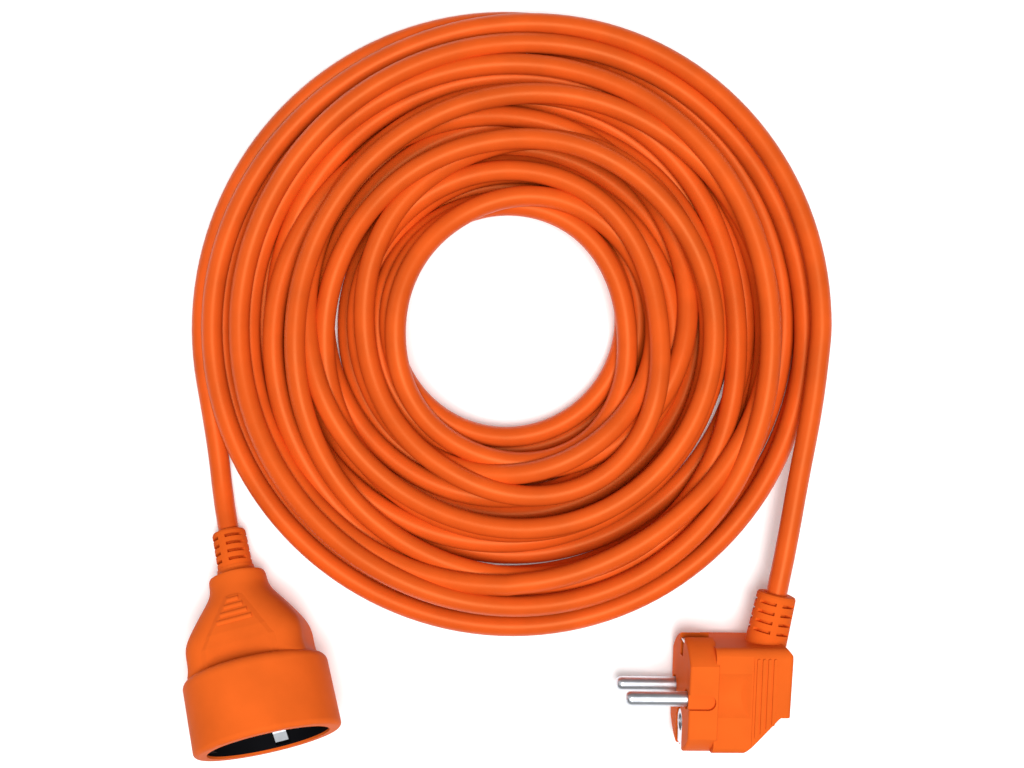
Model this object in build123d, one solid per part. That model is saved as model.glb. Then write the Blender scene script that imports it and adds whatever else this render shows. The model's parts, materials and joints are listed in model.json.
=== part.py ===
"""Coiled mains extension cord: an angled earthed plug, a trailing socket (coupler) and about 10 m
of three-core cord wound into an open round coil.

Millimetres, +Z up. The cord lies on the floor z = 0. The origin is on that floor, midway between
the two ends: the bottom centre of the box around plug and coupler. The coil is on the +Y side.

Plug frame:    face plane x = 0, pins towards -x, cord leaves towards +y, +z is up.
Coupler frame: mouth plane x = 0, the cup opens towards -x, cord leaves towards +x, +z is up.
"""

from build123d import *
import math
import os

# ---------------------------------------------------------------- where things lie
COIL_AT = (5.2, 105.3)  # coil centre on the floor
COIL_INNER_R, COIL_OUTER_R, COIL_H = 34.5, 106.5, 21.0
COIL_EDGE_R = 7.0  # rounding of the coil's upper edges, about one cord
COIL_FOOT_R = 3.0  # rounding of its lower edges

PLUG_AT = (61.0, -14.34, 17.84)  # centre of the plug's face
PLUG_TURN = (4.0, 5.5, -1.5)  # roll, pins up, yaw
COUPLER_AT = (-70.7, -28.64, 29.17)  # centre of the coupler's mouth
COUPLER_TURN = (-3.0, 18.5, 104.3)  # roll, neck down, yaw

# ---------------------------------------------------------------- cord
CORD_D = 6.8  # H05VV-F 3G1.0 sheath
CORE_R = 1.3  # insulated core
COPPER_R = 0.7  # stranded conductor
CORE_RING_R = 1.55  # the three cores sit on this circle inside the sheath
GRIP_R = CORD_D / 2 - 0.05  # bore of a strain relief, moulded on the sheath

# ---------------------------------------------------------------- plug (CEE 7/7)
PIN_R, PIN_LEN, PIN_PITCH = 2.4, 19.5, 19.0
PIN_TIP_R, PIN_TIP_LEN = 0.9, 2.0
PIN_SHANK_R = 2.0
PLUG_R, PLUG_FLAT_Z = 18.9, 14.9  # round engagement ring with two flats
RING_LEN = 9.4
PLUG_LEN = 33.5
PLUG_HALF_W, PLUG_HALF_T = 17.0, 14.3  # half width and half thickness behind the ring
PLUG_BACK_T = 3.6  # back plate
GRIP_CORNER_R = 3.6  # rounding along the grip's long edges
KEYWAY_W, KEYWAY_FLOOR_Z, KEYWAY_LEN = 4.8, 13.5, 8.6
GROOVE_W, GROOVE_FLOOR = 7.2, 16.2  # side grooves that carry the earth strips
STRIP_T, STRIP_W = 0.8, 6.0
FRENCH_Y, FRENCH_R = -10.0, 2.45  # socket for a protruding earth pin
RECESS_X = 20.6  # rear end of the finger recess
BRIDGE_X = (2.5, 9.2)
BRIDGE_Z = 12.3
BOSS_R, BOSS_X = 3.2, 0.8
FACE_RECESS = 1.2
RIB_X, RIB_PITCH, RIB_W = 21.9, 1.8, 1.0
RIB_TOP, RIB_ENDS = 14.2, (-11.4, -10.2, -8.6, -7.2)  # the lower ends follow the chamfer
PLUG_EXIT = (28.0, 18.9)  # strain relief axis where it leaves the body
PLUG_EXIT_LEAN = 10.7  # degrees, away from the pins
PLUG_SR_OUT, PLUG_SR_IN = 13.8, 8.5  # strain relief beyond and within the body's side
PLUG_SR_R = (6.75, 6.35)  # at the body, at the cord end
PLUG_SR_ROOT_R = 5.2
PLUG_SHEATH_IN = 9.5  # the sheath is stripped this far inside the body's side

# ---------------------------------------------------------------- coupler (CEE 7/3)
RIM_R, RIM_REAR_R, RIM_LEN, RIM_SHOULDER_R = 23.75, 23.35, 24.5, 3.0
CUP_R, CUP_DEPTH, CUP_WALL, CUP_FLOOR = 19.7, 17.5, 1.2, 2.5
LIP_R, LIP_T = 19.6, 0.8
# outline of the bell: distance behind the mouth, half width, half height, corner radius share
BELL = [
    (22.0, 19.1, 15.4, 0.50),
    (26.5, 19.2, 15.2, 0.50),
    (31.0, 19.1, 14.8, 0.52),
    (35.0, 18.7, 14.2, 0.58),
    (39.0, 16.9, 13.0, 0.68),
    (43.0, 14.4, 11.6, 0.78),
    (47.0, 11.6, 10.2, 0.88),
    (51.0, 9.6, 9.2, 0.95),
    (55.4, 8.8, 8.8, 0.97),
]
# the raised pad on the bell: distance behind the mouth, half width of its top
PANEL = [(22.0, 10.6), (26.5, 10.6), (31.0, 10.4), (35.0, 8.2), (39.0, 5.9), (43.0, 3.6), (47.0, 1.4)]
PANEL_RISE, PANEL_BORDER = 0.5, 2.6  # its height, and the width of its sloping border
COLLAR_X, COLLAR_R, NECK_X, NECK_R = 55.4, 8.8, 58.0, 5.75
COUPLER_LEN, COUPLER_SR_END_R = 70.7, 5.5
COUPLER_SR_ROOT = (50.5, 4.7)
COUPLER_SHEATH_X = 53.0
GUIDE_RIB_W, GUIDE_RIB_IN = 4.4, 17.5
CLIP_W, CLIP_T = 4.4, 0.8
# middle line of an earth clip, as distance behind the mouth and distance from the cup's axis
CLIP_LINE = [(19.3, 19.3), (12.5, 19.0), (5.6, 16.6), (2.5, 18.5)]
CLIP_ROOT = (19.3, 19.3)  # where it bends
CLIP_GAP = 0.4
CLIP_SLOT_W = 5.2
CLIP_POCKET = 21.9  # outside of the pocket that houses a clip
CLIP_SLOT_X = 1.6
BOW_X = (20.0, 20.8)
ENTRY_R, CONTACT_BORE_R, CONTACT_R = 2.75, 2.45, 3.3
CONTACT_X, CONTACT_BORE_END, CONTACT_END = 20.2, 37.0, 38.0
CONTACT_SLIT = 0.8
TOWER_R, TOWER_BORE_R = 5.3, 3.4
COVER_X = (38.0, 40.5)
CRIMP_R, CRIMP_BORE_R, CRIMP_LEN = 1.7, 0.75, 5.0

PI = math.pi


# ---------------------------------------------------------------- small helpers
def block(x0, x1, y0, y1, z0, z1):
    return Pos((x0 + x1) / 2, (y0 + y1) / 2, (z0 + z1) / 2) * Box(x1 - x0, y1 - y0, z1 - z0)


def rod(r, x0, x1, y=0.0, z=0.0):
    """A round bar along x."""
    return Pos((x0 + x1) / 2, y, z) * Rot(0, 90, 0) * Cylinder(r, x1 - x0)


def turned(points, at=(0.0, 0.0)):
    """A solid turned about an axis parallel to x through (y, z) = at; points are (x, r)."""
    face = make_face(Polyline(*[(x, r, 0) for x, r in points], close=True))
    return Pos(0, *at) * revolve(face, Axis.X)


def fused(pieces):
    whole = pieces[0]
    for piece in pieces[1:]:
        whole = whole + piece
    return whole


def cut(whole, tools):
    for tool in tools:
        whole = whole - tool
    return whole


def soften(shape, edges, radius):
    """Rounds the edges, at a smaller radius where the full one doesn't fit."""
    for share in (1.0, 0.7, 0.45):
        try:
            return fillet(edges, radius * share)
        except ValueError:
            continue
    return shape


# ---------------------------------------------------------------- the cord's tubes
def corner_radii(points):
    """0.45 of the shorter run beside each corner, divided by the tangent of half the turn."""
    v = [Vector(*p) for p in points]
    radii = []
    for a, b, c in zip(v, v[1:], v[2:]):
        turn = math.radians((b - a).get_angle(c - b))
        radii.append(0.45 * min((b - a).length, (c - b).length) / math.tan(turn / 2))
    return radii


def tube(points, radius, radii=None):
    """A round tube along straight runs joined by tangent arcs."""
    path = FilletPolyline(*points, radius=radii or corner_radii(points))
    start = Plane(origin=path @ 0, z_dir=path % 0)
    return sweep(start * Circle(radius), path=path), path.length


# Routes of the two free ends, from the stripped end inside the fitting to inside the coil.
PLUG_TAIL = [
    (87.52, -5.03, 16.01),
    (94.34, 25.61, 17.6),
    (99.1, 53.5, 17.9),
    (103.9, 77.0, 17.5),
    (106.4, 97.0, 17.3),
]
COUPLER_TAIL = [
    (-83.16, 20.25, 12.29),
    (-88.97, 43.04, 4.42),
    (-91.0, 61.5, 3.5),
    (-93.9, 79.0, 3.4),
]


def coil_solid():
    """The outer shape of the wound coil: a low ring with rounded edges and an open middle."""
    face = make_face(
        Polyline(
            (COIL_INNER_R, 0, 0),
            (COIL_OUTER_R, 0, 0),
            (COIL_OUTER_R, 0, COIL_H),
            (COIL_INNER_R, 0, COIL_H),
            close=True,
        )
    )
    top = face.vertices().group_by(Axis.Z)[-1]
    face = fillet(top, COIL_EDGE_R)
    face = fillet(face.vertices().group_by(Axis.Z)[0], COIL_FOOT_R)
    return Pos(*COIL_AT, 0) * revolve(face, Axis.Z)


# ---------------------------------------------------------------- strain reliefs
def strain_relief(root_x, root_r, base_x, base_r, end_x, end_r, slots, arc, first_angle, pitch):
    """A tapered sleeve along x with four rings of slots; the root is buried in the moulding."""
    body = turned(
        [
            (root_x, 0),
            (root_x, root_r),
            (base_x, root_r),
            (base_x, base_r),
            (end_x - 0.9, end_r),
            (end_x - 0.25, end_r - 0.3),
            (end_x, end_r - 1.0),
            (end_x, 0),
        ]
    )
    body -= rod(GRIP_R, root_x - 1, end_x + 1)
    slot_depth, slot_w, rings = 1.9, 1.05, 4
    for i in range(rings):
        x = end_x - pitch * (i + 0.95)
        r = base_r + (end_r - base_r) * (x - base_x) / (end_x - base_x)
        ring = rod(r + 1, x - slot_w / 2, x + slot_w / 2) - rod(
            r - slot_depth, x - slot_w, x + slot_w
        )
        for k in range(slots):
            angle = first_angle + 360 * k / slots
            body -= ring & wedge(arc, angle, x, 2 * slot_w)
    return body


def wedge(arc, angle, x, width):
    """A sector of the given arc about the x axis, centred on an angle measured from +z."""
    reach, half = 20.0, math.radians(arc / 2)
    side = reach * math.tan(half)
    face = Plane.YZ.offset(x - width / 2) * make_face(
        Polyline((0, 0), (side, reach), (-side, reach), close=True)
    )
    return Rot(angle, 0, 0) * extrude(face, amount=width)


# ---------------------------------------------------------------- plug
def plug_grip():
    w, lx = PLUG_HALF_W, PLUG_LEN
    outline = make_face(
        Polyline(
            (RING_LEN - 1, -w),
            (18.4, -w),
            (29.6, -4.9),
            (lx - PLUG_BACK_T, -4.8),
            (lx - 0.4, -4.8),
            (lx, w - 2.2),
            (lx - 1.8, w),
            (RING_LEN - 1, w),
            close=True,
        )
    )
    slab = extrude(outline, amount=PLUG_HALF_T, both=True)
    section = Plane.YZ * RectangleRounded(2 * w, 2 * PLUG_HALF_T, GRIP_CORNER_R)
    grip = slab & extrude(section, amount=lx)
    back = grip.edges().filter_by(lambda e: e.center().X > lx - 0.5).sort_by(Axis.Z)
    return soften(grip, [back[0], back[-1]], 2.4)


def plug_ring():
    ring = rod(PLUG_R, 0, RING_LEN) & block(
        -1, RING_LEN + 1, -PLUG_R - 1, PLUG_R + 1, -PLUG_FLAT_Z, PLUG_FLAT_Z
    )
    rim = ring.edges().filter_by(lambda e: e.center().X < 0.01)
    ring = soften(ring, rim, 0.9)
    rear = ring.edges().filter_by(lambda e: e.center().X > RING_LEN - 0.01)
    return soften(ring, rear, 0.4)


def finger_recess():
    """A round hollow along x with a sloping rear wall, in a surface a little below the ribs'."""
    depth, half_y, middle_y = 2.0, 7.7, 2.2
    r = (half_y**2 + depth**2) / (2 * depth)
    top, floor = PLUG_HALF_T, PLUG_HALF_T - depth - 0.5
    slope = make_face(
        Polyline(
            (RING_LEN, floor), (RECESS_X - 4.4, floor), (RECESS_X, top), (RECESS_X, top + 6),
            (RING_LEN, top + 6), close=True,
        )
    )
    prism = extrude(Plane.XZ * slope, amount=PLUG_R, both=True)
    hollow = rod(r, RING_LEN, RECESS_X, middle_y, top - depth + r) & prism
    return hollow + block(RING_LEN, RECESS_X, -PLUG_R, PLUG_R, top - 0.3, PLUG_R)


def keyway():
    end = KEYWAY_LEN - KEYWAY_W / 2
    slot = block(-1, end, -KEYWAY_W / 2, KEYWAY_W / 2, KEYWAY_FLOOR_Z, PLUG_R)
    return slot + Pos(end, 0, (KEYWAY_FLOOR_Z + PLUG_R) / 2) * Cylinder(
        KEYWAY_W / 2, PLUG_R - KEYWAY_FLOOR_Z
    )


def plug_ribs():
    ribs = []
    for side in (1, -1):
        for i, low in enumerate(RIB_ENDS):
            slot = Rot(0, 0, 90) * SlotOverall(RIB_TOP - low, RIB_W)
            z = side * (PLUG_HALF_T - 0.05) - 0.55
            ribs.append(Pos(RIB_X + i * RIB_PITCH, (RIB_TOP + low) / 2, z) * extrude(slot, amount=1.1))
    return ribs


def pin(z):
    """A turned pin with a crimp barrel at its rear."""
    steps = 5
    nose = [
        (
            -PIN_LEN + PIN_TIP_LEN * (1 - math.cos(PI / 2 * i / steps)),
            PIN_TIP_R + (PIN_R - PIN_TIP_R) * math.sin(PI / 2 * i / steps),
        )
        for i in range(steps + 1)
    ]
    body = turned(
        [
            (-PIN_LEN, 0),
            *nose,
            (BOSS_X, PIN_R),
            (BOSS_X, PIN_SHANK_R),
            (BRIDGE_X[1], PIN_SHANK_R),
            (BRIDGE_X[1], 2.3),
            (BRIDGE_X[1] + 1, 2.3),
            (BRIDGE_X[1] + 1, CRIMP_R),
            (BRIDGE_X[1] + 1 + CRIMP_LEN, CRIMP_R),
            (BRIDGE_X[1] + 1 + CRIMP_LEN, 0),
        ],
        (0, z),
    )
    return body - rod(CRIMP_BORE_R, BRIDGE_X[1] + 1.8, BRIDGE_X[1] + 2 + CRIMP_LEN, 0, z)


def crimp_hull(x, y=0.0, z=0.0):
    """The space a crimp barrel takes up, bore included."""
    return rod(CRIMP_R, x, x + CRIMP_LEN, y, z)


def earth_bracket():
    """One stamping: two side strips, a rear strap with a crimp, and an eyelet on the face."""
    outer = GROOVE_FLOOR + STRIP_T
    half = STRIP_W / 2
    x0, x1 = 0.4, BRIDGE_X[1] + STRIP_T
    sides = [
        block(x0, x1, min(s * GROOVE_FLOOR, s * outer), max(s * GROOVE_FLOOR, s * outer), -half, half)
        for s in (1, -1)
    ]
    strap = block(BRIDGE_X[1], x1, -outer, outer, -half, half)
    strap = strap + rod(4.9, BRIDGE_X[1], x1, FRENCH_Y)
    strap -= rod(3.1, BRIDGE_X[1] - 1, x1 + 1, FRENCH_Y)
    front = block(x0, x0 + STRIP_T, -outer, FRENCH_Y, -half, half) + rod(
        4.2, x0, x0 + STRIP_T, FRENCH_Y
    )
    front -= rod(FRENCH_R + 0.3, x0 - 1, x0 + 2, FRENCH_Y)
    crimp = rod(CRIMP_R, x1, x1 + CRIMP_LEN, 5.0)
    whole = fused([strap, *sides, front, crimp])
    return whole - rod(CRIMP_BORE_R, x1 + 0.8, x1 + CRIMP_LEN + 1, 5.0)


def earth_sleeve():
    x0 = 0.4 + STRIP_T
    return rod(FRENCH_R + 0.55, x0, 11.2, FRENCH_Y) - rod(FRENCH_R, x0 - 1, 12, FRENCH_Y)


def plug_bridge(pins, sleeve):
    block_in = rod(14.6, *BRIDGE_X) & block(0, 20, -20, 20, -BRIDGE_Z, BRIDGE_Z)
    bosses = [rod(BOSS_R, BOSS_X, BRIDGE_X[0] + 1, 0, s * PIN_PITCH / 2) for s in (1, -1)]
    seat = block(FACE_RECESS, BRIDGE_X[0] + 1, -GROOVE_FLOOR, FRENCH_Y, -4.9, 4.9) + rod(
        4.9, FACE_RECESS, BRIDGE_X[0] + 1, FRENCH_Y
    )
    upper = block(FACE_RECESS + 0.4, BRIDGE_X[0] + 1, 11.9, GROOVE_FLOOR, -2.2, 2.2)
    side = block(*BRIDGE_X, -GROOVE_FLOOR, GROOVE_FLOOR, -3.6, 3.6)
    bridge = fused([block_in, *bosses, seat, upper, side])
    return cut(bridge, [*pins, sleeve, rod(FRENCH_R + 0.55, 0, 12, FRENCH_Y)])


def core(points, bare):
    """Insulation and copper of one core; the copper runs bare for its first few mm."""
    first, second = Vector(*points[0]), Vector(*points[1])
    skin_start = first + (second - first).normalized() * bare
    skin_points = [tuple(skin_start), *points[1:]]
    radii = [min(r, 4.0) for r in corner_radii(skin_points)]
    copper, _ = tube(points, COPPER_R, radii)
    skin, _ = tube(skin_points, CORE_R, radii)
    hole, _ = tube(skin_points, COPPER_R, radii)
    return skin - hole, copper


def plug_parts():
    half = PIN_PITCH / 2
    pins = {"live": pin(half), "neutral": pin(-half)}
    bracket, sleeve = earth_bracket(), earth_sleeve()
    bridge = plug_bridge(list(pins.values()), sleeve)

    lean = math.radians(PLUG_EXIT_LEAN)
    out = (math.sin(lean), math.cos(lean))
    across = (-math.cos(lean), math.sin(lean))  # towards the pins
    sheath = tuple(PLUG_EXIT[i] - PLUG_SHEATH_IN * out[i] for i in (0, 1))
    exit_place = Pos(*PLUG_EXIT, 0) * Rot(0, 0, 90 - PLUG_EXIT_LEAN)
    relief = exit_place * strain_relief(
        -PLUG_SR_IN, PLUG_SR_ROOT_R, -3.2, PLUG_SR_R[0], PLUG_SR_OUT, PLUG_SR_R[1], 5, 54, -37, 3.05
    )
    relief_hull = exit_place * (
        turned([(-3.2, 0), (-3.2, PLUG_SR_R[0]), (PLUG_SR_OUT, PLUG_SR_R[1]), (PLUG_SR_OUT, 0)])
        + rod(PLUG_SR_ROOT_R, -PLUG_SR_IN, 0)
        + rod(CORD_D / 2 + 0.05, -PLUG_SHEATH_IN, 0)
    )

    cores = {}
    crimp_x = BRIDGE_X[1] + 2.0
    step = -3.0
    for name, z, ring in (("live", half, 1.34), ("neutral", -half, -1.34)):
        at = (sheath[0] - 0.775 * across[0], sheath[1] - 0.775 * across[1], ring)
        cores[name] = core(
            [
                (crimp_x, 0, z),
                (22.6, 0, z),
                (at[0] + step * out[0], at[1] + step * out[1], ring * 1.8),
                at,
            ],
            5.4,
        )
    at = (sheath[0] + 1.55 * across[0], sheath[1] + 1.55 * across[1], 0)
    cores["earth"] = core([(BRIDGE_X[1] + 1.8, 5.0, 0), (22.6, 5.0, 0), at], 5.4)

    shell = plug_ring() + plug_grip()
    recess = finger_recess()
    shell = cut(shell, [recess, mirror(recess, Plane.XY), keyway(), mirror(keyway(), Plane.XY)])
    shell = fused([shell, *plug_ribs()])
    openings = [
        block(-1, BRIDGE_X[1] + STRIP_T, s * GROOVE_FLOOR - (0 if s > 0 else 9), s * GROOVE_FLOOR
              + (9 if s > 0 else 0), -GROOVE_W / 2, GROOVE_W / 2)
        for s in (1, -1)
    ]
    openings += [rod(BOSS_R, -1, BOSS_X, 0, s * half) for s in (1, -1)]
    openings += [
        block(-1, FACE_RECESS, -PLUG_R, FRENCH_Y, -4.9, 4.9) + rod(4.9, -1, FACE_RECESS, FRENCH_Y),
        block(-1, FACE_RECESS + 0.4, 11.9, GROOVE_FLOOR, -2.2, 2.2),
        rod(FRENCH_R, 0, 11.2, FRENCH_Y),
    ]
    inner = [*pins.values(), bracket, sleeve, bridge, relief_hull]
    inner += [crimp_hull(BRIDGE_X[1] + 1, 0, s * half) for s in (1, -1)]
    inner.append(crimp_hull(BRIDGE_X[1] + STRIP_T, 5.0))
    inner += [piece for pair in cores.values() for piece in pair]
    body = cut(shell, openings + inner)

    parts = {
        "plug_body": body,
        "plug_strain_relief": relief,
        "plug_bridge": bridge - bracket,
        "plug_pin_live": pins["live"],
        "plug_pin_neutral": pins["neutral"],
        "plug_earth_bracket": bracket,
        "plug_earth_sleeve": sleeve,
    }
    for name, (skin, copper) in cores.items():
        parts["plug_core_" + name] = skin
        parts["plug_conductor_" + name] = copper
    return parts


# ---------------------------------------------------------------- coupler
def bell():
    """The tapering rear of the coupler."""
    sections = [
        Plane.YZ.offset(x) * RectangleRounded(2 * w, 2 * h, share * min(w, h))
        for x, w, h, share in BELL
    ]
    return loft(sections)


def panel():
    """A low pad with sloping borders on top and bottom of the bell, narrowing towards the neck."""
    sections = []
    for x, half in PANEL:
        low, high = bell_height(x) - 0.3, bell_height(x) + PANEL_RISE
        wide = half + PANEL_BORDER
        quarter = [(wide, low), (half, high), (-half, high), (-wide, low)]
        outline = quarter + [(y, -z) for y, z in reversed(quarter)]
        sections.append(Plane.YZ.offset(x) * make_face(Polyline(*outline, close=True)))
    return loft(sections, ruled=True)


def bell_height(x):
    """Half height of the bell at a distance behind the mouth."""
    for (x0, _, h0, _), (x1, _, h1, _) in zip(BELL, BELL[1:]):
        if x0 <= x <= x1:
            return h0 + (h1 - h0) * (x - x0) / (x1 - x0)
    return BELL[-1][2]


def rim_and_collar():
    rim = turned([(0, 0), (0, RIM_R), (RIM_LEN, RIM_REAR_R), (RIM_LEN, 0)])
    front = rim.edges().filter_by(lambda e: e.center().X < 0.01)
    rim = soften(rim, front, 1.6)
    rear = rim.edges().filter_by(lambda e: e.center().X > RIM_LEN - 0.01)
    rim = soften(rim, rear, RIM_SHOULDER_R)
    steps = 5
    hollow = [
        (
            NECK_X - (NECK_X - COLLAR_X) * math.cos(PI / 2 * i / steps),
            NECK_R + 0.25 + (COLLAR_R - 0.8 - NECK_R - 0.25) * (1 - math.sin(PI / 2 * i / steps)),
        )
        for i in range(steps + 1)
    ]
    collar = turned(
        [(COLLAR_X - 3, 0), (COLLAR_X - 3, COLLAR_R - 0.1), (COLLAR_X - 0.6, COLLAR_R - 0.1), *hollow,
         (NECK_X, 0)]
    )
    return rim, collar


def grip_marks():
    """Four cross ridges on each pad, each shorter than the last."""
    marks = []
    for side in (1, -1):
        for x, width in ((38.4, 11.4), (40.8, 8.8), (43.2, 6.2), (45.5, 3.8)):
            z = side * (bell_height(x) + PANEL_RISE - 0.45)
            marks.append(Pos(x, 0, z) * Rot(90, 0, 0) * Cylinder(0.95, width))
    return marks


def contact(y):
    """A split tubular contact with a crimp barrel."""
    tulip = turned(
        [
            (CONTACT_X, 0),
            (CONTACT_X, CONTACT_R - 0.4),
            (CONTACT_X + 0.6, CONTACT_R),
            (CONTACT_END, CONTACT_R),
            (CONTACT_END, CRIMP_R),
            (CONTACT_END + CRIMP_LEN, CRIMP_R),
            (CONTACT_END + CRIMP_LEN, 0),
        ],
        (0, 0),
    )
    tulip -= rod(CONTACT_BORE_R, CONTACT_X - 1, CONTACT_BORE_END)
    tulip -= block(CONTACT_X - 1, CONTACT_X + 12, -5, 5, -CONTACT_SLIT / 2, CONTACT_SLIT / 2)
    tulip -= rod(CRIMP_BORE_R, CONTACT_END + 0.5, CONTACT_END + CRIMP_LEN + 1)
    return Pos(0, y, 0) * tulip


def coupler_insert():
    """The cup that takes the plug, with guide ribs, clip slots and two rear contact towers."""
    outer = CUP_R + CUP_WALL
    cup = rod(outer, LIP_T, CUP_DEPTH + CUP_FLOOR) - rod(CUP_R, LIP_T - 1, CUP_DEPTH)
    for s in (1, -1):
        y0, y1 = sorted((s * GUIDE_RIB_IN, s * (CUP_R + 0.4)))
        cup += block(1.6, CUP_DEPTH + 0.1, y0, y1, -GUIDE_RIB_W / 2, GUIDE_RIB_W / 2)
    towers = [rod(TOWER_R, CUP_DEPTH + 0.5, CONTACT_END, s * PIN_PITCH / 2) for s in (1, -1)]
    cup = fused([cup, *towers])
    for s in (1, -1):
        z0, z1 = sorted((s * 18.0, s * CLIP_POCKET))
        half = CLIP_SLOT_W / 2 + 1.2
        cup += block(LIP_T, CUP_DEPTH + CUP_FLOOR, -half, half, z0, z1) & rod(22.3, 0, 30)
    cup -= rod(CUP_R, LIP_T - 1, CUP_DEPTH) - block(
        0, 30, -RIM_R, RIM_R, -GUIDE_RIB_W / 2, GUIDE_RIB_W / 2
    )
    tools = []
    for s in (1, -1):
        y = s * PIN_PITCH / 2
        tools += [rod(ENTRY_R, 0, CONTACT_X, y), rod(TOWER_BORE_R, CONTACT_X, 50, y)]
    return cut(cup, tools + clip_spaces())


def clip_spaces():
    """The room in which each earth clip springs."""
    spaces = []
    for s in (1, -1):
        z0, z1 = sorted((s * 15.6, s * (CLIP_POCKET - 0.9)))
        spaces.append(block(CLIP_SLOT_X, 20.1, -CLIP_SLOT_W / 2, CLIP_SLOT_W / 2, z0, z1))
    return spaces


def earth_clip(side):
    """One springing leaf that presses on the plug's earth strip."""
    with BuildLine(Plane.XZ) as line:
        FilletPolyline(*CLIP_LINE, radius=[9.0, 1.3])
    leaf = Plane.XZ * trace(Plane.XZ.to_local_coords(line.line), CLIP_T)
    leaf = extrude(leaf, amount=CLIP_W / 2, both=True)
    return leaf if side > 0 else Rot(180, 0, 0) * leaf


def earth_bow():
    """The strap behind the cup's floor that joins the two clips, with the earth crimp."""
    top = CLIP_ROOT[1] + CLIP_T / 2
    half = CLIP_W / 2
    strap = block(*BOW_X, -half, half, -top, top)
    for s in (1, -1):
        z0, z1 = sorted((s * (top - CLIP_T), s * top))
        strap += block(CLIP_ROOT[0] + CLIP_GAP, BOW_X[1], -half, half, z0, z1)
    strap += rod(CRIMP_R, BOW_X[0] + 0.2, BOW_X[1] + CRIMP_LEN)
    return strap - rod(CRIMP_BORE_R, BOW_X[1] + 0.4, BOW_X[1] + CRIMP_LEN + 1)


def rear_cover(contacts):
    plate = Plane.YZ.offset(COVER_X[0]) * SlotOverall(2 * 14.4, 10.4)
    plate = extrude(plate, amount=COVER_X[1] - COVER_X[0])
    barrels = [crimp_hull(CONTACT_END, s * PIN_PITCH / 2) for s in (1, -1)]
    return cut(plate, [*contacts, *barrels, rod(CORE_R, 30, 50)])


def coupler_parts():
    half = PIN_PITCH / 2
    contacts = {"live": contact(half), "neutral": contact(-half)}
    insert = coupler_insert()
    clips = {"upper": earth_clip(1), "lower": earth_clip(-1)}
    bow = earth_bow()
    cover = rear_cover(contacts.values())
    relief = strain_relief(
        COUPLER_SR_ROOT[0], COUPLER_SR_ROOT[1], NECK_X - 1.6, NECK_R, COUPLER_LEN,
        COUPLER_SR_END_R, 4, 64, 30, 2.65,
    )
    relief_hull = (
        rod(COUPLER_SR_ROOT[1], COUPLER_SR_ROOT[0], NECK_X)
        + rod(NECK_R, NECK_X - 1.6, NECK_X + 2)
    )

    cores = {}
    x = COUPLER_SHEATH_X
    for name, y in (("live", half), ("neutral", -half)):
        ring_y = 1.34 if y > 0 else -1.34
        cores[name] = core(
            [
                (CONTACT_END + 0.7, y, 0),
                (CONTACT_END + CRIMP_LEN + 2.0, y, 0),
                (x - 3.0, ring_y, 0.775),
                (x, ring_y, 0.775),
            ],
            CRIMP_LEN - 0.2,
        )
    cores["earth"] = core(
        [(BOW_X[1] + 0.6, 0, 0), (44.0, 0, 0), (x - 3.0, 0, -1.55), (x, 0, -1.55)],
        CRIMP_LEN,
    )

    rim, collar = rim_and_collar()
    shell = fused([rim, bell(), collar, panel(), *grip_marks()])
    outer = CUP_R + CUP_WALL
    mouth = [
        rod(LIP_R, -1, LIP_T),
        rod(outer, LIP_T, CUP_DEPTH + CUP_FLOOR),
        block(CUP_DEPTH, BOW_X[1], -CLIP_W / 2, CLIP_W / 2, -20.5, 20.5),
        *clip_spaces(),
    ]
    inner = [insert, *contacts.values(), bow, cover, relief_hull]
    inner.append(rod(CORD_D / 2 + 0.05, x, NECK_X))
    inner += [rod(TOWER_BORE_R, CONTACT_X, CONTACT_END, y) for y in (half, -half)]
    inner += [crimp_hull(CONTACT_END, y) for y in (half, -half)]
    inner += [rod(ENTRY_R, CUP_DEPTH, CONTACT_X, y) for y in (half, -half)]
    inner.append(crimp_hull(BOW_X[1]))
    inner += [piece for pair in cores.values() for piece in pair]
    body = cut(shell, mouth + inner)

    parts = {
        "coupler_body": body,
        "coupler_strain_relief": relief,
        "coupler_insert": insert,
        "coupler_rear_cover": cover,
        "coupler_contact_live": contacts["live"],
        "coupler_contact_neutral": contacts["neutral"],
        "coupler_earth_bow": bow,
        "coupler_earth_clip_upper": clips["upper"],
        "coupler_earth_clip_lower": clips["lower"],
    }
    for name, (skin, copper) in cores.items():
        parts["coupler_core_" + name] = skin
        parts["coupler_conductor_" + name] = copper
    return parts


# ---------------------------------------------------------------- placing and writing
def placing(at, turn):
    roll, pitch, yaw = turn
    return Pos(*at) * Rot(0, 0, yaw) * Rot(0, pitch, 0) * Rot(roll, 0, 0)


PLUG_PLACE = placing(PLUG_AT, PLUG_TURN)
COUPLER_PLACE = placing(COUPLER_AT, COUPLER_TURN)


def main():
    os.makedirs("parts", exist_ok=True)
    parts = {name: PLUG_PLACE * shape for name, shape in plug_parts().items()}
    parts.update({name: COUPLER_PLACE * shape for name, shape in coupler_parts().items()})
    ends = Compound(children=[s for shape in parts.values() for s in shape.solids()])
    box = ends.bounding_box()
    print("plug and coupler box", box.min, box.max, "centre", box.center())
    for name, route in (("cord_tail_plug", PLUG_TAIL), ("cord_tail_coupler", COUPLER_TAIL)):
        parts[name], length = tube(route, CORD_D / 2)
        radii = ", ".join(f"{r:.0f}" for r in corner_radii(route))
        share = parts[name].volume / (PI * (CORD_D / 2) ** 2 * length)
        print(name, f"length {length:.1f}, arc radii {radii}, volume / (section x length) {share:.4f}")
    parts["cord_coil"] = coil_solid()
    for name, shape in sorted(parts.items()):
        export_step(Compound(children=list(shape.solids())) if len(shape.solids()) > 1
                    else shape.solids()[0], f"parts/{name}.step")


main()
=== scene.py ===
"""Looks for the coiled extension cord: one real cord, its finishes, and a plain pale studio."""

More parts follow.
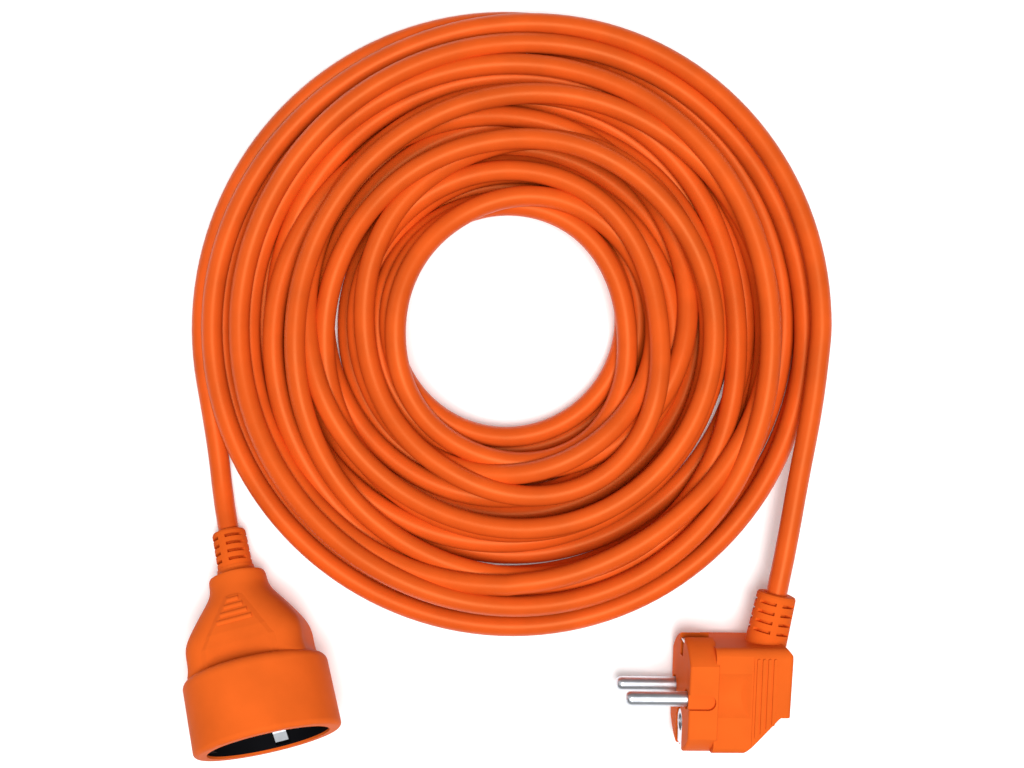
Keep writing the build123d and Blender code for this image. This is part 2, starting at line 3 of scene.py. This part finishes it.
import bisect
import json
import math

import bpy
import numpy as np
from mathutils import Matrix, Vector


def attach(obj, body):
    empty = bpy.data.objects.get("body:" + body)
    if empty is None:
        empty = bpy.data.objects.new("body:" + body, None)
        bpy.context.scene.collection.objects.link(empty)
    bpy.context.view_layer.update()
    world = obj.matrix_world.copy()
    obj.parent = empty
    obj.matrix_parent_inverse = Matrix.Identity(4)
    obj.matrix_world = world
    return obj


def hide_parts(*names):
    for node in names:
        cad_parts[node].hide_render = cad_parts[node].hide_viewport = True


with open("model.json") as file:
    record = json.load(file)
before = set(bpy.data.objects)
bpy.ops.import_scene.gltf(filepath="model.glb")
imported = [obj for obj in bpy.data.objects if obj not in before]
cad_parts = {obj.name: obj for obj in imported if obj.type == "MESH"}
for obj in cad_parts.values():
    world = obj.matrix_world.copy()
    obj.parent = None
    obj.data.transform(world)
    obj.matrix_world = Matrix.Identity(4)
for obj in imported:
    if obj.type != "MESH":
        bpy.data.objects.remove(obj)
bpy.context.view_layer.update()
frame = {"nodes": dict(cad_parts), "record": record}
nodes = frame["nodes"]

MM = 0.001  # lengths of the cord are given in millimetres, angles in degrees

# ------------------------------------------------------------------ the cord's sizes and route
CORD_D = 6.8
COIL_AT = (5.2, 105.3)

# The two free ends follow the CAD part's routes, from each fitting to the coil.
COUPLER_TAIL = [
    (-83.16, 20.25, 12.29),
    (-88.97, 43.04, 4.42),
    (-91.0, 61.5, 3.5),
    (-93.9, 79.0, 3.4),
]
PLUG_TAIL = [
    (87.52, -5.03, 16.01),
    (94.34, 25.61, 17.6),
    (99.1, 53.5, 17.9),
    (103.9, 77.0, 17.5),
    (106.4, 97.0, 17.3),
]

# Radius of each visible turn at every KNOT_DEG of plan angle, from the plug inwards
KNOT_DEG = 60
TOP_TURNS = [
    (101.8, 101.4, 96.0, 97.8, 99.2, 100.4),
    (95.8, 93.4, 88.2, 90.0, 92.0, 93.2),
    (89.2, 86.6, 81.2, 80.8, 85.2, 86.6),
    (82.6, 79.8, 74.0, 72.0, 77.6, 80.0),
    (75.8, 73.0, 67.0, 64.6, 69.0, 73.2),
    (68.6, 66.0, 60.0, 57.6, 62.0, 66.2),
    (61.4, 58.8, 53.2, 50.8, 55.0, 58.8),
    (53.6, 51.6, 46.4, 44.4, 48.2, 51.4),
    (46.0, 44.4, 39.8, 38.2, 41.8, 44.0),
    (38.8, 38.0, 37.8, 38.2, 38.4, 38.2),
]
# Each visible turn is shifted off centre, so that neighbours cross. The shift starts from nothing at the
# outermost turn, is full SHIFT_FADE turns further in, and fades again towards the innermost turn.
SHIFT, SHIFT_TURN, SHIFT_START = 5.0, 145.0, 240.0  # how far, to which sides, and the first side
SHIFT_FADE = 2.2
INNER_SHIFT = 0.3  # the innermost turn is shifted as if it lay this many turns from the end of the fade

# The coil starts below with (angle past the coupler's tail, radius) and then sweeps in, out and in again
# with (turns, radius at the sweep's end), until the visible turns begin.
LEAD_IN = [(40, 101.4), (100, 100.6)]
HIDDEN_SWEEPS = [(8.52, 42.0), (2.96, 88.0), (1.12, 45.0)]
SWEEP_KNOTS = 4  # knots in each turn of a sweep
WANDER = 1.0  # how far the hidden turns stray to either side
WANDER_STEP, WANDER_WAVE = 2.1, 23.875  # how the stray changes from knot to knot and sweep to sweep
JOIN_DEG = 50  # the last sweep has at least this angle to reach the visible turns
STEP_DEG = 7.5  # angle between two points of the cord's line

# Laying: the cord is pressed together a little where it crosses, and climbs no faster than its slope.
FLOOR_GAP = 0.02
CROSSING = CORD_D * 0.9
SLOPE = 0.22
LAY_DEG, AHEAD_DEG, APART_DEG = 45, 120, 198  # laid at a time, looked at ahead, and never its own support
SMOOTHING = 6  # rounds of smoothing
EASE_POINTS = 14  # the coil's last points, which ease into the plug's tail


def smooth_track(knots, at):
    """Values of a smooth curve through (position, value) knots, evenly spaced or not."""
    xs, ys = [k[0] for k in knots], [k[1] for k in knots]
    slopes = [(ys[1] - ys[0]) / (xs[1] - xs[0])]
    for i in range(1, len(xs) - 1):
        slopes.append((ys[i + 1] - ys[i - 1]) / (xs[i + 1] - xs[i - 1]))
    slopes.append((ys[-1] - ys[-2]) / (xs[-1] - xs[-2]))
    out = []
    for x in at:
        i = min(max(bisect.bisect_right(xs, x) - 1, 0), len(xs) - 2)
        w = xs[i + 1] - xs[i]
        t = (x - xs[i]) / w
        out.append(
            ys[i] * (1 + 2 * t) * (1 - t) ** 2
            + slopes[i] * w * t * (1 - t) ** 2
            + ys[i + 1] * t * t * (3 - 2 * t)
            + slopes[i + 1] * w * t * t * (t - 1)
        )
    return out


def off_centre_turns():
    """The visible turns, each shifted a little to one side."""
    shifted, last = [], len(TOP_TURNS) - 1
    for n, turn in enumerate(TOP_TURNS):
        side = math.radians(SHIFT_TURN * n + SHIFT_START)
        reach = SHIFT * min(1.0, n / SHIFT_FADE, (last - n + INNER_SHIFT) / SHIFT_FADE)
        shifted.append([r + reach * math.cos(math.radians(KNOT_DEG * k) - side) for k, r in enumerate(turn)])
    return shifted


def from_centre(point):
    """Plan angle and radius of a point, seen from the coil's centre."""
    x, y = point[0] - COIL_AT[0], point[1] - COIL_AT[1]
    return math.degrees(math.atan2(y, x)), math.hypot(x, y)


def hidden_knots(start, radius):
    """Knots of the lower turns, from the coupler's tail to the end of the last sweep."""
    knots = [(start, radius)] + [(start + past, r) for past, r in LEAD_IN]
    for turns, r_end in HIDDEN_SWEEPS:
        begin, r_begin = knots[-1]
        count = int(turns * SWEEP_KNOTS)
        for k in range(1, count + 1):
            share = k / count
            wander = WANDER * math.sin(begin / WANDER_WAVE + WANDER_STEP * k) * math.sin(math.pi * share)
            knots.append((begin + 360 * turns * share, r_begin + (r_end - r_begin) * share + wander))
    return knots


def visible_knots(first):
    """Knots of the upper turns, innermost first, up to the start of the plug's tail."""
    knots = []
    inner_first = off_centre_turns()[::-1]
    for n, turn in enumerate(inner_first):
        before = inner_first[max(n - 1, 0)]
        knots.append((first + 360 * n, before[0]))
        # the cord is laid clockwise, so plan angles count down
        for k in range(1, len(turn)):
            knots.append((first + 360 * n + KNOT_DEG * k, turn[len(turn) - k]))
    end = first + 360 * len(inner_first)
    knots.append((end, inner_first[-1][0]))
    tail_angle, tail_radius = from_centre(PLUG_TAIL[-1])
    knots.append((end - tail_angle, tail_radius))
    return knots


def coil_line():
    """The coil seen from above, laid from the coupler's end to the plug's, as x and y."""
    start_angle, start_radius = from_centre(COUPLER_TAIL[-1])
    start = 360 - start_angle % 360
    knots = hidden_knots(start, start_radius)
    knots += visible_knots(math.ceil((knots[-1][0] + JOIN_DEG) / 360) * 360)
    angles = np.arange(start + STEP_DEG, knots[-1][0] - STEP_DEG / 2, STEP_DEG)
    return [
        (
            COIL_AT[0] + r * math.cos(math.radians(-a)),
            COIL_AT[1] + r * math.sin(math.radians(-a)),
        )
        for a, r in zip(angles, smooth_track(knots, angles))
    ]


def rise(needed, step):
    """The lowest line above the needed heights that climbs and falls no faster than SLOPE."""
    z = needed.copy()
    for i in range(1, len(z)):
        z[i] = max(z[i], z[i - 1] - SLOPE * step[i - 1])
    for i in range(len(z) - 2, -1, -1):
        z[i] = max(z[i], z[i + 1] - SLOPE * step[i])
    return z


def lay(flat, first_z):
    """Heights of a cord laid turn by turn: each stretch rests on the floor or on earlier turns."""
    xy = np.array(flat)
    step = np.linalg.norm(np.diff(xy, axis=0), axis=1)
    floor_z = CORD_D / 2 + FLOOR_GAP
    n = len(xy)
    z = np.full(n, floor_z)
    z[0] = first_z
    piece, ahead, apart = [int(angle / STEP_DEG) for angle in (LAY_DEG, AHEAD_DEG, APART_DEG)]
    done = 1
    while done < n:
        stop, look = min(done + piece, n), min(done + piece + ahead, n)
        need = np.full(look, floor_z)
        need[:done] = z[:done]
        for i in range(done, look):
            old = min(i - apart, done)
            if old > 0:
                gap2 = ((xy[:old] - xy[i]) ** 2).sum(1)
                near = gap2 < CROSSING**2
                if near.any():
                    need[i] = max(floor_z, (z[:old][near] + np.sqrt(CROSSING**2 - gap2[near])).max())
        back = max(done - ahead, 0)
        line = rise(need[back:look], step[back : look - 1])
        z[done:stop] = line[done - back : stop - back]
        done = stop
    # a stiff cord bridges small dips and rounds small humps
    for _ in range(SMOOTHING):
        z[1:-1] = 0.25 * z[:-2] + 0.5 * z[1:-1] + 0.25 * z[2:]
    return z


def cord_points():
    """Control points of the whole cord, from the coupler to the plug."""
    flat = coil_line()
    coil = [(x, y, float(z)) for (x, y), z in zip(flat, lay(flat, COUPLER_TAIL[-1][2]))]
    # ease the coil's last stretch into the plug's tail
    lift = PLUG_TAIL[-1][2] - coil[-1][2]
    for k in range(1, EASE_POINTS + 1):
        x, y, z = coil[-k]
        share = 1 - (k - 1) / EASE_POINTS
        coil[-k] = (x, y, z + lift * share * share * (3 - 2 * share))
    return COUPLER_TAIL + coil + PLUG_TAIL[::-1]


def make_cord(points):
    data = bpy.data.curves.new("cord", "CURVE")
    data.dimensions = "3D"
    data.resolution_u = 3
    data.bevel_depth = CORD_D / 2 * MM
    data.bevel_resolution = 7
    data.use_fill_caps = True
    line = data.splines.new("NURBS")
    line.points.add(len(points) - 1)
    for control, (x, y, z) in zip(line.points, points):
        control.co = (x * MM, y * MM, z * MM, 1)
    line.order_u = 3
    line.use_endpoint_u = True
    cord = bpy.data.objects.new("cord", data)
    bpy.context.scene.collection.objects.link(cord)
    return cord


# ------------------------------------------------------------------ materials
def new_material(name):
    mat = bpy.data.materials.new(name)
    mat.use_nodes = True
    tree = mat.node_tree
    return mat, tree, tree.nodes["Principled BSDF"]


def noise(tree, scale, detail=2.0, stretch=None):
    """A noise texture in metres of the object's own frame, optionally stretched along an axis."""
    place = tree.nodes.new("ShaderNodeTexCoord")
    tex = tree.nodes.new("ShaderNodeTexNoise")
    tex.inputs["Scale"].default_value = scale
    tex.inputs["Detail"].default_value = detail
    source = place.outputs["Object"]
    if stretch:
        mapping = tree.nodes.new("ShaderNodeMapping")
        mapping.inputs["Scale"].default_value = stretch
        tree.links.new(source, mapping.inputs["Vector"])
        source = mapping.outputs["Vector"]
    tree.links.new(source, tex.inputs["Vector"])
    return tex.outputs["Fac"]


def ramp(tree, fac, low, high, dark, light):
    node = tree.nodes.new("ShaderNodeValToRGB")
    node.color_ramp.elements[0].position = low
    node.color_ramp.elements[1].position = high
    node.color_ramp.elements[0].color = (*dark, 1)
    node.color_ramp.elements[1].color = (*light, 1)
    tree.links.new(fac, node.inputs["Fac"])
    return node.outputs["Color"]


def spread(tree, fac, low, high):
    node = tree.nodes.new("ShaderNodeMapRange")
    node.inputs["To Min"].default_value = low
    node.inputs["To Max"].default_value = high
    tree.links.new(fac, node.inputs["Value"])
    return node.outputs["Result"]


def bump(tree, fac, strength, distance, under=None):
    node = tree.nodes.new("ShaderNodeBump")
    node.inputs["Strength"].default_value = strength
    node.inputs["Distance"].default_value = distance
    tree.links.new(fac, node.inputs["Height"])
    if under:
        tree.links.new(under, node.inputs["Normal"])
    return node.outputs["Normal"]


def plastic(name, color, rough, grain=2200, grain_depth=0.00002, vary=0.07, shine=0.01, tint=(1, 1, 1)):
    """Moulded plastic: soft colour clouds, a fine moulding grain and uneven gloss."""
    mat, tree, shader = new_material(name)
    dark = tuple(c * (1 - vary) for c in color)
    light = tuple(min(1, c * (1 + vary)) for c in color)
    clouds, patches, waves = noise(tree, 60, 3), noise(tree, 240, 4), noise(tree, 90, 2)
    tree.links.new(ramp(tree, clouds, 0.3, 0.7, dark, light), shader.inputs["Base Color"])
    tree.links.new(spread(tree, patches, rough - 0.06, rough + 0.06), shader.inputs["Roughness"])
    fine = bump(tree, noise(tree, grain, 2), 0.35, grain_depth)
    tree.links.new(bump(tree, waves, 0.25, 0.00012, fine), shader.inputs["Normal"])
    shader.inputs["Specular IOR Level"].default_value = shine
    shader.inputs["Specular Tint"].default_value = (*tint, 1)
    return mat


def metal(name, color, rough, streaks=(900, 900, 60)):
    """Plated or stamped metal with fine drawing marks and light tarnish."""
    mat, tree, shader = new_material(name)
    dark = tuple(c * 0.86 for c in color)
    tarnish, patches = noise(tree, 140, 4), noise(tree, 320, 5)
    tree.links.new(ramp(tree, tarnish, 0.35, 0.7, dark, color), shader.inputs["Base Color"])
    tree.links.new(spread(tree, patches, rough - 0.05, rough + 0.08), shader.inputs["Roughness"])
    marks = bump(tree, noise(tree, 3.0, 3, streaks), 0.12, 0.00001)
    tree.links.new(marks, shader.inputs["Normal"])
    shader.inputs["Metallic"].default_value = 1.0
    return mat


WARM = (1.0, 0.55, 0.22)  # tint of the gloss on orange pieces
finishes = {
    "orange_plastic": plastic("orange_plastic", (0.70, 0.112, 0.014), 0.42, tint=WARM),
    "orange_soft": plastic("orange_soft", (0.69, 0.104, 0.012), 0.46, tint=WARM),
    "cord_sheath": plastic("cord_sheath", (0.655, 0.086, 0.010), 0.40, 1500, 0.00006, 0.1, 0.3, WARM),
    "black_plastic": plastic("black_plastic", (0.005, 0.005, 0.006), 0.4, 2400, vary=0.2),
    "nickel": metal("nickel", (0.74, 0.77, 0.82), 0.36),
    "spring_brass": metal("spring_brass", (0.80, 0.60, 0.30), 0.28),
    "core_brown": plastic("core_brown", (0.10, 0.035, 0.012), 0.4),
    "core_blue": plastic("core_blue", (0.015, 0.09, 0.42), 0.4),
    "core_earth": plastic("core_earth", (0.12, 0.42, 0.03), 0.4),
    "copper": metal("copper", (0.75, 0.36, 0.2), 0.35, (600, 600, 600)),
}
slots = {s["node"]: s["material_slot"] for s in frame["record"]["subparts"]}
for name, obj in nodes.items():
    obj.data.materials.clear()
    obj.data.materials.append(finishes[slots[name]])

# ------------------------------------------------------------------ the cord
cord = make_cord(cord_points())
cord.data.materials.append(finishes["cord_sheath"])
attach(cord, "cord_set")
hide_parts("cord_coil", "cord_tail_plug", "cord_tail_coupler")


# ------------------------------------------------------------------ studio, in metres
def pale_floor(half):
    """A plain pale floor that glows a little, so that it renders as white as paper."""
    mesh = bpy.data.meshes.new("floor")
    corners = [(-half, -half, 0), (half, -half, 0), (half, half, 0), (-half, half, 0)]
    mesh.from_pydata(corners, [], [(0, 1, 2, 3)])
    floor = bpy.data.objects.new("floor", mesh)
    bpy.context.scene.collection.objects.link(floor)
    mat, tree, shader = new_material("floor")
    pale = ramp(tree, noise(tree, 3, 2), 0.3, 0.7, (0.93, 0.93, 0.93), (0.95, 0.95, 0.95))
    tree.links.new(pale, shader.inputs["Base Color"])
    shader.inputs["Roughness"].default_value = 0.8
    shader.inputs["Emission Color"].default_value = (1, 1, 1, 1)
    shader.inputs["Emission Strength"].default_value = 0.14
    mesh.materials.append(mat)
    return floor


def area_light(name, at, target, size, power):
    data = bpy.data.lights.new(name, "AREA")
    data.shape = "RECTANGLE"
    data.size, data.size_y = size
    data.energy = power
    light = bpy.data.objects.new(name, data)
    light.location = at
    light.rotation_mode = "QUATERNION"
    light.rotation_quaternion = (Vector(target) - Vector(at)).to_track_quat("-Z", "Y")
    bpy.context.scene.collection.objects.link(light)


floor = pale_floor(3)

world = bpy.data.worlds.new("studio")
bpy.context.scene.world = world
world.use_nodes = True
world.node_tree.nodes["Background"].inputs["Color"].default_value = (1, 1, 1, 1)
world.node_tree.nodes["Background"].inputs["Strength"].default_value = 0.18

MIDDLE = (0.0, 0.08, 0.0)  # what both lights point at
area_light("key", (0.12, -0.1, 1.25), MIDDLE, (0.6, 0.6), 19.5)
area_light("fill", (-0.9, 0.5, 0.8), MIDDLE, (0.7, 0.7), 1.5)

# ------------------------------------------------------------------ camera
# An unrotated camera looks straight down, here from above the space between the coil and the fittings.
cam_data = bpy.data.cameras.new("camera")
cam_data.lens = 57.73
cam_data.sensor_width = 36.0
cam_data.clip_start = 0.01
camera = bpy.data.objects.new("camera", cam_data)
camera.location = (6.5 * MM, 85.2 * MM, 550 * MM)
bpy.context.scene.collection.objects.link(camera)
bpy.context.scene.camera = camera
bpy.context.scene.view_settings.view_transform = "Standard"
